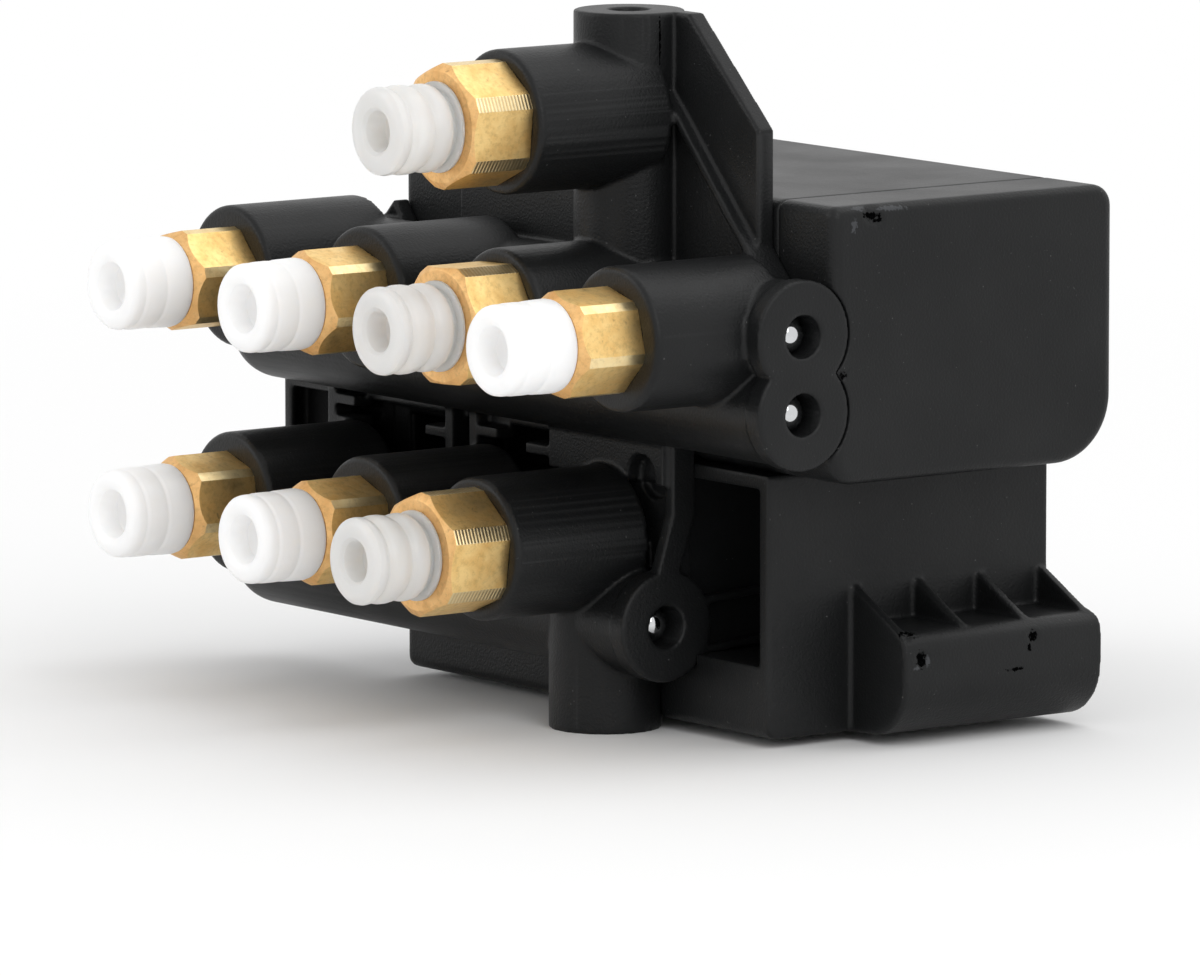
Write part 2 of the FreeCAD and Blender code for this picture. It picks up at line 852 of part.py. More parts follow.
def lower_housing():
    body, feature = housing_block("LowerShell", s.lower_floor, upper_floor,
                                  s.lower_near_end - far_end, far_end)
    feature = round_edges(body, feature, s.edge_radius, along_x(s.housing_front, s.lower_floor))
    feature = round_edges(body, feature, s.edge_radius, along_x(s.housing_rear, s.lower_floor))
    round_end(body, feature, far_end)
    low, high = lower_hollow
    inner = box("LowerCavity", (low[0], low[1], s.lower_floor), high)
    recess = box("LowerRecess", (recess_start, s.web_back, s.recess_floor),
                 (s.lower_near_end - s.recess_wall, s.recess_end, upper_floor - s.recess_roof))
    pocket = box("WindowPocket", (far_end + s.housing_wall, s.housing_front, pocket_floor),
                 (-s.beam_start - s.stub_width, s.housing_front + s.window_pocket_depth, upper_floor))
    blank = join("LowerBlank", [body] + mounting_bar())
    hollowed = cut("LowerHollowed", blank, [inner, recess, pocket])
    node("lower_housing", cut("LowerHousing", hollowed, manifold_room("LowerRoom")))
    gap = s.housing_clearance
    node("lower_cover", box("LowerCover", (low[0] + gap, low[1] + gap, s.lower_floor),
                            (high[0] - gap, high[1] - gap, s.lower_floor + s.housing_wall)))


# Ports: fittings, collets, seals and transport caps

def port_fitting(name, x, height, large, spin):
    """Brass screw-in body: hexagon with its corners cut, turned face, stem and bore."""
    flats = s.large_flats if large else s.small_flats
    corner = s.large_corner_radius if large else s.small_corner_radius
    face = s.large_face_radius if large else s.small_face_radius
    length = s.large_hex_length if large else s.small_hex_length
    stem = s.large_stem_radius if large else s.small_stem_radius
    tube = s.large_tube_radius if large else s.small_tube_radius
    collet = s.large_collet_radius if large else s.small_collet_radius
    mouth = -s.boss_reach
    tag = "Fitting" + name
    turned_blank = join(tag + "Turned", [
        rod(tag + "Round", face + s.hex_chamfer_rise, length - s.hex_chamfer, (x, mouth, height), "-y"),
        cone(tag + "Chamfer", face + s.hex_chamfer_rise, face, s.hex_chamfer,
             (x, mouth - length + s.hex_chamfer, height), "-y"),
    ])
    head = common(tag + "Head", [
        hexagon(tag + "Flats", flats, length, (x, mouth, height), "-y", spin),
        hexagon(tag + "Corners", corner * 2, length, (x, mouth, height), "-y", spin + 30),
        turned_blank,
    ])
    shank = rod(tag + "Stem", stem, s.stem_length, (x, mouth, height), "+y")
    front = mouth - length
    collet_start = mouth + s.collet_depth
    holes = [
        rod(tag + "Bore", tube, length + s.stem_length, (x, front, height), "+y"),
        rod(tag + "ColletSeat", collet, s.collet_length, (x, collet_start, height), "+y"),
    ]
    node(name + "_fitting", cut(tag, join(tag + "Blank", [head, shank]), holes))
    return front, tube


def collet_ring(name, x, height, large):
    tube = s.large_tube_radius if large else s.small_tube_radius
    collet = s.large_collet_radius if large else s.small_collet_radius
    start = s.collet_depth - s.boss_reach
    blank = rod("ColletBlank" + name, collet, s.collet_length, (x, start, height), "+y")
    return cut("Collet" + name, blank,
               [rod("ColletBore" + name, tube, s.collet_length, (x, start, height), "+y")])


def port_seal(name, x, height, large):
    """Rubber ring in the groove at the mouth of the boss."""
    stem = s.large_stem_radius if large else s.small_stem_radius
    outer = rod("PortSealOuter" + name, stem + s.seal_section, s.seal_section - s.thread_clearance,
                (x, -s.boss_reach, height), "+y")
    inner = rod("PortSealInner" + name, stem, s.seal_section, (x, -s.boss_reach, height), "+y")
    return cut("PortSeal" + name, outer, [inner])


def transport_cap(name, x, height, large, front, tube):
    """Push-in dust cap: plug, flange, three grip rings and a blind hole in its tip."""
    grip = s.cap_radius
    groove = s.cap_radius - s.cap_groove
    hole = s.cap_hole_radius if large else s.wide_cap_hole_radius
    reach = s.cap_reach
    plug = tube - s.thread_clearance
    outline = [
        (0, -s.cap_plug_length),
        (plug, -s.cap_plug_length),
        (plug, 0),
        (s.cap_flange_radius, 0),
        (s.cap_flange_radius, s.cap_flange_width),
    ]
    for count in range(3):
        start = s.cap_ring_start + s.cap_ring_step * count
        groove_place = start - (s.cap_ring_step - s.cap_ring_width) / 2
        outline += [(groove, groove_place), (grip, start), (grip, start + s.cap_ring_width)]
    outline += [
        (grip - s.cap_lip, reach),
        (hole, reach),
        (hole, reach - s.cap_hole_depth),
        (0, reach - s.cap_hole_depth),
    ]
    body = turned("Cap" + name, outline)
    place(body, (x, front, height), "-y")
    node(name + "_cap", body)


def gallery_balls():
    for name, height, near_end in galleries:
        centre = (near_end - s.ball_depth, 0, height)
        node(name + "_gallery_ball", ball("Ball" + name, s.ball_radius, centre))


# Solenoid valves

plunger_front = s.nozzle_end + s.valve_seal_length
plunger_rear = plunger_front + s.plunger_length
core_front = plunger_rear + s.plunger_travel
coil_end = s.coil_start + s.coil_length
yoke_front = s.coil_start - s.yoke_gap - s.yoke_thickness
yoke_rear = coil_end + s.yoke_gap
guide_radius = s.plunger_radius + s.plunger_clearance


def coil(count, x, height):
    """Wound bobbin: two flanges and the winding between them, round the plunger's guide."""
    tag = f"Coil{count}"
    solids = [
        rod(tag + "Winding", s.coil_radius - s.winding_inset, s.coil_length, (x, s.coil_start, height), "+y"),
        rod(tag + "FrontFlange", s.coil_radius, s.bobbin_flange, (x, s.coil_start, height), "+y"),
        rod(tag + "RearFlange", s.coil_radius, s.bobbin_flange,
            (x, coil_end - s.bobbin_flange, height), "+y"),
    ]
    guide = rod(tag + "Guide", guide_radius, s.coil_length, (x, s.coil_start, height), "+y")
    node(f"coil_{count}", cut(tag, join(tag + "Blank", solids), [guide]))


def plunger(count, x, height):
    tag = f"Plunger{count}"
    node(f"plunger_{count}",
         rod(tag, s.plunger_radius, s.plunger_length, (x, plunger_front, height), "+y"))
    node(f"plunger_seal_{count}", rod(tag + "Seal", s.valve_seal_radius, s.valve_seal_length,
                                      (x, s.nozzle_end, height), "+y"))


def fixed_core(count, x, height):
    """Fixed pole with the spring's pocket in its face and a stud through the yoke."""
    tag = f"Core{count}"
    blank = rod(tag + "Blank", s.plunger_radius, yoke_rear + s.yoke_thickness - core_front,
                (x, core_front, height), "+y")
    room = rod(tag + "Pocket", s.spring_radius + s.spring_wire + s.plunger_clearance,
               s.spring_pocket_depth, (x, core_front, height), "+y")
    return cut(tag, blank, [room])


def return_spring(count, x, height):
    """Compression spring from the plunger's rear face to the bottom of the core's pocket."""
    length = s.spring_pocket_depth + s.plunger_travel
    lead = s.spring_wire * 2
    helix = doc.addObject("Part::Helix", f"SpringLine{count}")
    bind(helix, "Height", length - lead)
    bind(helix, "Pitch", (length - lead) / s.spring_coils)
    bind(helix, "Radius", s.spring_radius)
    wire = doc.addObject("Part::RegularPolygon", f"SpringWire{count}")
    wire.Polygon = 4
    bind(wire, "Circumradius", s.spring_wire)
    wire.Placement = Placement(Vector(number(s.spring_radius), 0, 0), Rotation(Vector(1, 0, 0), 90))
    wire.setExpression("Placement.Base.x", s.spring_radius.text)
    sweep = doc.addObject("Part::Sweep", f"Spring{count}")
    sweep.Sections = [wire]
    sweep.Spine = (helix, [])
    sweep.Solid = True
    sweep.Frenet = True
    place(sweep, (x, plunger_rear + s.spring_wire, height), "+y")
    node(f"return_spring_{count}", sweep)


def yoke(name, bank, height, side):
    """Bent steel yoke of one bank: front plate, rear plate and the strip that joins them."""
    first = bank[-1][1] - s.coil_radius
    last = bank[0][1] + s.coil_radius
    low = height - s.coil_radius
    high = height + s.coil_radius
    pieces = [
        box(name + "Front", (first, yoke_front, low), (last, yoke_front + s.yoke_thickness, high)),
        box(name + "Rear", (first, yoke_rear, low), (last, yoke_rear + s.yoke_thickness, high)),
        box(name + "Strip", (first, yoke_front, low - s.yoke_gap - s.yoke_thickness),
            (last, yoke_rear + s.yoke_thickness, low - s.yoke_gap)),
        box(name + "FrontFoot", (first, yoke_front, low - s.yoke_gap - s.yoke_thickness),
            (last, yoke_front + s.yoke_thickness, low)),
        box(name + "RearFoot", (first, yoke_rear, low - s.yoke_gap - s.yoke_thickness),
            (last, yoke_rear + s.yoke_thickness, low)),
    ]
    holes = []
    for count, x, valve_height in bank:
        holes.append(rod(f"{name}Guide{count}", guide_radius, s.yoke_thickness,
                         (x, yoke_front, valve_height), "+y"))
        holes.append(rod(f"{name}Stud{count}", s.plunger_radius, s.yoke_thickness,
                         (x, yoke_rear, valve_height), "+y"))
    node(side + "_yoke", cut(name, join(name + "Blank", pieces), holes))


def solenoid_valves():
    cores = []
    for count, x, height in upper_bank + lower_bank:
        coil(count, x, height)
        plunger(count, x, height)
        return_spring(count, x, height)
        cores.append(fixed_core(count, x, height))
    node("valve_cores", group("ValveCores", cores))
    yoke("UpperYoke", upper_bank, middle_port_height, "upper")
    yoke("LowerYoke", lower_bank, s.lower_valve_height, "lower")


# Electrical parts and the pressure sensor

def circuit_board():
    top = upper_top - s.housing_wall - s.board_gap
    margin = s.board_gap
    blank = box("BoardBlank", (far_end + s.housing_wall + margin, cavity_front + margin,
                               top - s.board_thickness),
                (s.gallery_near_end - s.housing_wall - margin, cavity_rear - margin, top))
    node("circuit_board", cut("Board", blank, contact_pins("BoardHole")))


def pressure_sensor():
    """Round sensor cell that sits on its own nozzle behind the lower gallery."""
    x = -s.sensor_place
    height = s.lower_valve_height
    blank = join("SensorBlank", [
        rod("SensorCell", s.sensor_radius, s.sensor_length, (x, s.nozzle_end, height), "+y"),
        rod("SensorTip", s.sensor_tip_radius, s.sensor_length + s.sensor_tip_length,
            (x, s.nozzle_end, height), "+y"),
    ])
    port = rod("SensorPort", s.nozzle_bore_radius, s.sensor_port_depth, (x, s.nozzle_end, height), "+y")
    node("pressure_sensor", cut("Sensor", blank, [port]))


def build():
    manifold()
    upper_housing()
    upper_end_cap()
    lower_housing()
    gallery_balls()
    collets = []
    seals = []
    for name, x, height, large, spin, on_gallery in ports:
        front, tube = port_fitting(name, x, height, large, spin)
        transport_cap(name, x, height, large, front, tube)
        collets.append(collet_ring(name, x, height, large))
        seals.append(port_seal(name, x, height, large))
    node("tube_collets", group("TubeCollets", collets))
    node("port_seals", group("PortSeals", seals))
    solenoid_valves()
    circuit_board()
    pressure_sensor()
    node("contact_pins", group("ContactPins", contact_pins("Pin")))
    doc.recompute()


def check():
    """Stop before anything is written if an object failed or a shape isn't sound."""
    for item in doc.Objects:
        if "Invalid" in item.State or "Error" in item.State:
            raise RuntimeError(f"{item.Name} failed: {item.State}")
    for item in nodes:
        if item.Shape.isNull() or not item.Shape.isValid() or not item.Shape.Solids:
            raise RuntimeError(f"{item.Label} has no sound shape")


def export():
    os.makedirs("parts", exist_ok=True)
    for item in nodes:
        item.Shape.exportStep(f"parts/{item.Label}.step")
        print(item.Label, len(item.Shape.Solids), round(item.Shape.Volume, 2))


build()
check()
export()
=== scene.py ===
import json
import math

import bmesh
import bpy
import numpy as np
from mathutils import Matrix, Vector, noise

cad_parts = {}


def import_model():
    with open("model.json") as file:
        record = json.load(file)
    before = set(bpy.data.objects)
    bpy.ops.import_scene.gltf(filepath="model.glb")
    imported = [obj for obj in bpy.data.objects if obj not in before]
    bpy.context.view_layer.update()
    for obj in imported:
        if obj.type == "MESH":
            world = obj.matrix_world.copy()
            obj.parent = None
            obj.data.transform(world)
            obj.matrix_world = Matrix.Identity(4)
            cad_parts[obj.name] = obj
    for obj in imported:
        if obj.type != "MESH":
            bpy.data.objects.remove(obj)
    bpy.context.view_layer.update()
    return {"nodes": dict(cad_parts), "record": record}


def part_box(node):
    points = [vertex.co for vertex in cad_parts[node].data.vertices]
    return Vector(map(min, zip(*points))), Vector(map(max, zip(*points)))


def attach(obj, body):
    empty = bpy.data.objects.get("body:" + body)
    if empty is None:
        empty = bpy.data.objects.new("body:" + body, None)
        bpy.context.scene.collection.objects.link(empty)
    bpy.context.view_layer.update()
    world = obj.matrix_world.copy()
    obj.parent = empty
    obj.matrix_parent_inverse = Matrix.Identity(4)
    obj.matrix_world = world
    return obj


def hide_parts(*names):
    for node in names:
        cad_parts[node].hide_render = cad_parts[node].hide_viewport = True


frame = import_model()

MM = 0.001
NODES = frame["nodes"]
PORTS = ("top", "middle_1", "middle_2", "middle_3", "middle_4", "bottom_1", "bottom_2", "bottom_3")
LARGE_PORTS = ("top", "middle_2", "bottom_1")


# Modelling helpers

def deselect():
    if bpy.context.mode != "OBJECT":
        bpy.ops.object.mode_set(mode="OBJECT")
    bpy.ops.object.select_all(action="DESELECT")


def take_up(piece):
    """Select one piece alone and make it the active one."""
    deselect()
    piece.select_set(True)
    bpy.context.view_layer.objects.active = piece


def join_to(piece, other):
    """Put the mesh of another piece in this one."""
    take_up(piece)
    other.select_set(True)
    bpy.ops.object.join()


def settle(piece):
    """Put the place, turn and size of a piece in its mesh."""
    take_up(piece)
    bpy.ops.object.transform_apply(location=True, rotation=True, scale=True)


def apply_all(piece):
    take_up(piece)
    for modifier in list(piece.modifiers):
        bpy.ops.object.modifier_apply(modifier=modifier.name)


def add_modifier(piece, kind, **settings):
    modifier = piece.modifiers.new(kind.lower(), kind)
    for name, value in settings.items():
        setattr(modifier, name, value)


def combine(piece, operation, tool):
    """Cut a piece with another one, or keep what they share, and remove the tool."""
    add_modifier(piece, "BOOLEAN", operation=operation, object=tool, solver="EXACT")
    apply_all(piece)
    bpy.data.objects.remove(tool)


def finish_mesh(piece, angle):
    take_up(piece)
    bpy.ops.object.mode_set(mode="EDIT")
    bpy.ops.mesh.select_all(action="SELECT")
    bpy.ops.mesh.remove_doubles(threshold=1e-6)
    bpy.ops.mesh.normals_make_consistent(inside=False)
    bpy.ops.object.mode_set(mode="OBJECT")
    bpy.ops.object.shade_smooth_by_angle(angle=math.radians(angle))


def copy_of_node(node, name):
    """A merged copy of a CAD node, with its own mesh."""
    deselect()
    piece = NODES[node].copy()
    piece.data = NODES[node].data.copy()
    piece.parent = None
    piece.name = piece.data.name = name
    for key in list(piece.keys()):
        del piece[key]
    bpy.context.scene.collection.objects.link(piece)
    finish_mesh(piece, 30)
    return piece


def dress(piece, materials, node):
    """Give a piece its finish and its body, and hide the CAD node that it stands for."""
    choices = np.empty(len(piece.data.polygons), dtype=np.int32)
    piece.data.polygons.foreach_get("material_index", choices)
    piece.data.materials.clear()
    for material in materials:
        piece.data.materials.append(material)
    piece.data.polygons.foreach_set("material_index", np.minimum(choices, len(materials) - 1))
    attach(piece, "block")
    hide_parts(node)


def named(name):
    """Name the piece that was just added, and settle it."""
    piece = bpy.context.object
    piece.name = piece.data.name = name
    settle(piece)
    return piece


def turned_piece(name, outline, segments=96):
    """Round piece: a circle extruded and resized along an outline of (radius, depth) points."""
    deselect()
    radius, depth = outline[0]
    bpy.ops.mesh.primitive_circle_add(vertices=segments, radius=radius * MM,
                                      location=(0, 0, depth * MM), fill_type="NGON")
    piece = named(name)
    bpy.ops.object.mode_set(mode="EDIT")
    bpy.ops.mesh.select_all(action="SELECT")
    for next_radius, next_depth in outline[1:]:
        bpy.ops.mesh.extrude_region_move(
            TRANSFORM_OT_translate={"value": (0, 0, (next_depth - depth) * MM)})
        share = next_radius / radius
        bpy.ops.transform.resize(value=(share, share, 1), center_override=(0, 0, next_depth * MM))
        radius, depth = next_radius, next_depth
    finish_mesh(piece, 30)
    return piece


def box(name, low, high):
    """Rectangular block between two corners, in mm."""
    deselect()
    low, high = Vector(low), Vector(high)
    bpy.ops.mesh.primitive_cube_add(size=1, location=(low + high) / 2 * MM)
    bpy.context.object.scale = (high - low) * MM
    return named(name)


def turned_by(degrees, axis):
    return Matrix.Rotation(math.radians(degrees), 4, axis)


def face_ports(piece, spin=0):
    """Turn a piece made along +Z so that it points out of the ports, along -Y."""
    piece.data.transform(turned_by(90, "X") @ turned_by(spin, "Z"))


# Shader helpers

def new_material(name):
    material = bpy.data.materials.new(name)
    material.use_nodes = True
    return material, material.node_tree, material.node_tree.nodes["Principled BSDF"]


def link(tree, source, target):
    tree.links.new(source, target)


def set_or_link(tree, value, target):
    if isinstance(value, (int, float)):
        target.default_value = value
    else:
        link(tree, value, target)


def group_tree(name, inputs, outputs):
    tree = bpy.data.node_groups.new(name, "ShaderNodeTree")
    for socket, kind, value in inputs:
        made = tree.interface.new_socket(socket, in_out="INPUT", socket_type=kind)
        if value is not None:
            made.default_value = value
    for socket, kind in outputs:
        tree.interface.new_socket(socket, in_out="OUTPUT", socket_type=kind)
    return tree, tree.nodes.new("NodeGroupInput"), tree.nodes.new("NodeGroupOutput")


def noise_node(tree, coordinates, scale, detail=3.0, roughness=0.5):
    """Noise value with a scale per metre, given as a number or a socket."""
    made = tree.nodes.new("ShaderNodeTexNoise")
    set_or_link(tree, scale, made.inputs["Scale"])
    made.inputs["Detail"].default_value = detail
    made.inputs["Roughness"].default_value = roughness
    link(tree, coordinates, made.inputs["Vector"])
    return made.outputs["Fac"]


def spread(tree, source, low, high, to_low=0.0, to_high=1.0):
    """Map a value from one range to another, held at the ends."""
    made = tree.nodes.new("ShaderNodeMapRange")
    for socket, value in (("From Min", low), ("From Max", high), ("To Min", to_low), ("To Max", to_high)):
        made.inputs[socket].default_value = value
    link(tree, source, made.inputs["Value"])
    return made.outputs["Result"]


def blend_colour(tree, mask, first, second):
    made = tree.nodes.new("ShaderNodeMix")
    made.data_type = "RGBA"
    for socket, value in (("A", first), ("B", second)):
        target = next(item for item in made.inputs if item.name == socket and item.type == "RGBA")
        if isinstance(value, tuple):
            target.default_value = (*value, 1)
        else:
            link(tree, value, target)
    link(tree, mask, made.inputs["Factor"])
    return next(item for item in made.outputs if item.type == "RGBA")


def maths(tree, operation, first, second):
    made = tree.nodes.new("ShaderNodeMath")
    made.operation = operation
    set_or_link(tree, first, made.inputs[0])
    set_or_link(tree, second, made.inputs[1])
    return made.outputs[0]


def highest(tree, values):
    """The highest of some values, or None if there are none."""
    total = None
    for value in values:
        total = value if total is None else maths(tree, "MAXIMUM", total, value)
    return total


def vector_maths(tree, operation, first, second=None):
    made = tree.nodes.new("ShaderNodeVectorMath")
    made.operation = operation
    for index, value in enumerate((first, second)):
        if value is not None:
            link(tree, value, made.inputs[index])
    return made.outputs["Value" if operation == "LENGTH" else "Vector"]


def away_from_centre(tree, given):
    """Place within a mark, as a share of its reach."""
    away = vector_maths(tree, "SUBTRACT", given.outputs["Vector"], given.outputs["Centre"])
    return vector_maths(tree, "DIVIDE", away, given.outputs["Reach"])


def use_group(tree, group, where, **values):
    """Add a node group at some coordinates, with its other inputs set."""
    made = tree.nodes.new("ShaderNodeGroup")
    made.node_tree = group
    for name, value in values.items():
        made.inputs[name.replace("_", " ")].default_value = value
    link(tree, where, made.inputs["Vector"])
    return made


def object_coordinates(tree):
    return tree.nodes.new("ShaderNodeTexCoord").outputs["Object"]


def seen_ray(tree):
    """1 for the rays that show the surroundings themselves, 0 for the rays that light the part."""
    ray = tree.nodes.new("ShaderNodeLightPath")
    kinds = ("Is Camera Ray", "Is Glossy Ray", "Is Transmission Ray")
    return highest(tree, [ray.outputs[kind] for kind in kinds])


def bump(tree, shader, height, distance):
    made = tree.nodes.new("ShaderNodeBump")
    made.inputs["Strength"].default_value = 1.0
    made.inputs["Distance"].default_value = distance * MM
    link(tree, height, made.inputs["Height"])
    link(tree, made.outputs["Normal"], shader.inputs["Normal"])


# Node groups

MARK_INPUTS = [("Vector", "NodeSocketVector", None), ("Centre", "NodeSocketVector", None),
               ("Reach", "NodeSocketVector", None)]
MARK_OUTPUTS = [("Mask", "NodeSocketFloat")]


def scuff_group():
    """Ragged mark at one place: 1 within a stretched ball, with a torn edge."""
    tree, given, made = group_tree("scuff", MARK_INPUTS + [("Torn", "NodeSocketFloat", 2.6)], MARK_OUTPUTS)
    distance = vector_maths(tree, "LENGTH", away_from_centre(tree, given))
    edge = noise_node(tree, given.outputs["Vector"], 2300, 4.0, 0.7)
    shift = maths(tree, "MULTIPLY", maths(tree, "SUBTRACT", edge, 0.5), given.outputs["Torn"])
    link(tree, spread(tree, maths(tree, "ADD", distance, shift), 0.6, 0.75, 1, 0), made.inputs["Mask"])
    return tree


def painted_shade_group():
    """Mask of painted shade: 1 within an upright box, 0 outside."""
    tree, given, made = group_tree("painted_shade", MARK_INPUTS, MARK_OUTPUTS)
    parts = tree.nodes.new("ShaderNodeSeparateXYZ")
    link(tree, vector_maths(tree, "ABSOLUTE", away_from_centre(tree, given)), parts.inputs["Vector"])
    most = highest(tree, [parts.outputs[axis] for axis in "XYZ"])
    link(tree, spread(tree, most, 0.94, 1.0, 1, 0), made.inputs["Mask"])
    return tree


def mould_grain_group():
    """Fine eroded grain of a moulded surface, with slow patches and a few dust specks."""
    tree, given, made = group_tree(
        "mould_grain",
        [("Vector", "NodeSocketVector", None), ("Grain Size", "NodeSocketFloat", 0.25)],
        [("Height", "NodeSocketFloat"), ("Patches", "NodeSocketFloat"), ("Dust", "NodeSocketFloat")])
    where = given.outputs["Vector"]
    per_metre = maths(tree, "DIVIDE", 1000.0, given.outputs["Grain Size"])
    link(tree, noise_node(tree, where, per_metre, 2.0), made.inputs["Height"])
    link(tree, spread(tree, noise_node(tree, where, 90, 4.0), 0.3, 0.7), made.inputs["Patches"])
    link(tree, spread(tree, noise_node(tree, where, 2600, 1.0), 0.76, 0.82), made.inputs["Dust"])
    return tree


SCUFF = scuff_group()
PAINTED_SHADE_BOX = painted_shade_group()
MOULD_GRAIN = mould_grain_group()


# Materials

SHINE = 0.23
TONES = ((0.0058, 0.0062, 0.0066), (0.0092, 0.0097, 0.0100))
DUST = (0.14, 0.14, 0.14)
WORN_EDGE = (0.045, 0.046, 0.047)
PALE_SMEAR = (0.11, 0.115, 0.125)
# Painted shade: a near-black colour, laid with no shine on gouges and on boxes of painted shade
UNLIT = (0.0012, 0.0012, 0.0013)
DUST_SHARE, EDGE_SHARE, SMEAR_SHARE, PAINTED_SHADE_SHARE = 0.5, 0.3, 0.35, 0.85
GOUGE_DEPTH = 4.0

RIDGES_PER_METRE = 2400
WAVE_UNIT = math.tau / 20  # the wave texture's scale that gives one band per metre
DRAWN_STRETCH = (1.0, 0.12, 1.0)
BRASS_SPOT = (0.30, 0.17, 0.07)
RIDGE_VALLEY = (0.80, 0.60, 0.30)


def masks(tree, where, group, marks):
    """One mask per mark, each mark (place, reach) in mm."""
    return [use_group(tree, group, where, Centre=Vector(place) * MM, Reach=Vector(reach) * MM).outputs["Mask"]
            for place, reach in marks]


def plastic(name, gouges_and_shade=(), smears=(), painted_shades=()):
    """Black moulded plastic: two close tones, grain, paler edges, pale smears, gouges darkened with painted
    shade, and painted shade in recesses.
    """
    material, tree, shader = new_material(name)
    where = object_coordinates(tree)
    surface = use_group(tree, MOULD_GRAIN, where, Grain_Size=0.28)
    patches, height = surface.outputs["Patches"], surface.outputs["Height"]
    colour = blend_colour(tree, patches, *TONES)
    dusty = maths(tree, "MULTIPLY", surface.outputs["Dust"], DUST_SHARE)
    colour = blend_colour(tree, dusty, colour, DUST)
    edges = tree.nodes.new("ShaderNodeAttribute")
    edges.attribute_name = "edge"
    worn = maths(tree, "MULTIPLY", edges.outputs["Fac"], EDGE_SHARE)
    colour = blend_colour(tree, worn, colour, WORN_EDGE)
    if smears:
        pale = maths(tree, "MULTIPLY", highest(tree, masks(tree, where, SCUFF, smears)), SMEAR_SHARE)
        colour = blend_colour(tree, pale, colour, PALE_SMEAR)
    # Painted shade: gouges and the boxes of painted shade turn near black and lose their shine
    dark = []
    if gouges_and_shade:
        dark.append(highest(tree, masks(tree, where, SCUFF, gouges_and_shade)))
        height = maths(tree, "SUBTRACT", height, maths(tree, "MULTIPLY", dark[0], GOUGE_DEPTH))
    dark += [maths(tree, "MULTIPLY", mask, PAINTED_SHADE_SHARE) for mask in masks(tree, where, PAINTED_SHADE_BOX, painted_shades)]
    shader.inputs["Specular IOR Level"].default_value = SHINE
    if dark:
        unlit = highest(tree, dark)
        colour = blend_colour(tree, unlit, colour, UNLIT)
        link(tree, spread(tree, unlit, 0, 1, SHINE, 0.0), shader.inputs["Specular IOR Level"])
    link(tree, colour, shader.inputs["Base Color"])
    link(tree, spread(tree, patches, 0.0, 1.0, 0.46, 0.38), shader.inputs["Roughness"])
    bump(tree, shader, height, 0.05)
    return material


def brass(name, colour, tarnished, rough, ridged=False):
    """Brass with slow tarnish and fine grit, and with dark spots and drawn lines, or with ridges."""
    material, tree, shader = new_material(name)
    where = object_coordinates(tree)
    shader.inputs["Metallic"].default_value = 1.0
    tarnish = noise_node(tree, where, 420, 5.0, 0.65)
    mixed = blend_colour(tree, spread(tree, tarnish, 0.4, 0.75), colour, tarnished)
    grit = spread(tree, noise_node(tree, where, 1700, 3.0, 0.7), 0.48, 0.68)
    dark = tuple(0.6 * value for value in tarnished)
    mixed = blend_colour(tree, maths(tree, "MULTIPLY", grit, 0.35), mixed, dark)
    link(tree, spread(tree, tarnish, 0.3, 0.7, rough, rough + 0.14), shader.inputs["Roughness"])
    if ridged:
        ridges = tree.nodes.new("ShaderNodeTexWave")
        ridges.bands_direction = "Y"
        ridges.inputs["Scale"].default_value = RIDGES_PER_METRE * WAVE_UNIT
        link(tree, where, ridges.inputs["Vector"])
        height = ridges.outputs["Fac"]
        link(tree, blend_colour(tree, height, RIDGE_VALLEY, mixed), shader.inputs["Base Color"])
        bump(tree, shader, height, 0.03)
    else:
        spots = spread(tree, noise_node(tree, where, 1100, 2.0), 0.7, 0.8)
        spotted = blend_colour(tree, maths(tree, "MULTIPLY", spots, 0.6), mixed, BRASS_SPOT)
        link(tree, spotted, shader.inputs["Base Color"])
        stretch = tree.nodes.new("ShaderNodeMapping")
        stretch.inputs["Scale"].default_value = DRAWN_STRETCH
        link(tree, where, stretch.inputs["Vector"])
        bump(tree, shader, noise_node(tree, stretch.outputs["Vector"], 4200, 4.0), 0.02)
    return material


def cap_plastic(name, colour, shade, transmission, rough):
    """Cap plastic: milky, with a soft uneven shine, and some light passing through the clear kinds."""
    material, tree, shader = new_material(name)
    surface = use_group(tree, MOULD_GRAIN, object_coordinates(tree), Grain_Size=0.5)
    patches = surface.outputs["Patches"]
    link(tree, blend_colour(tree, patches, colour, shade), shader.inputs["Base Color"])
    link(tree, spread(tree, patches, 0, 1, rough, rough + 0.1), shader.inputs["Roughness"])
    shader.inputs["Subsurface Weight"].default_value = 0.8
    shader.inputs["Subsurface Radius"].default_value = (1.0, 0.95, 0.9)
    shader.inputs["Subsurface Scale"].default_value = 3.0 * MM
    shader.inputs["Transmission Weight"].default_value = transmission
    bump(tree, shader, surface.outputs["Height"], 0.008)
    return material


def plain_finish(name, colour, shade, metallic, low, high, scale, depth):
    """Two close tones, uneven shine and a fine surface, for the parts inside."""
    material, tree, shader = new_material(name)
    tone = noise_node(tree, object_coordinates(tree), scale)
    link(tree, blend_colour(tree, tone, colour, shade), shader.inputs["Base Color"])
    link(tree, spread(tree, tone, 0.3, 0.7, low, high), shader.inputs["Roughness"])
    shader.inputs["Metallic"].default_value = metallic
    bump(tree, shader, tone, depth)
    return material
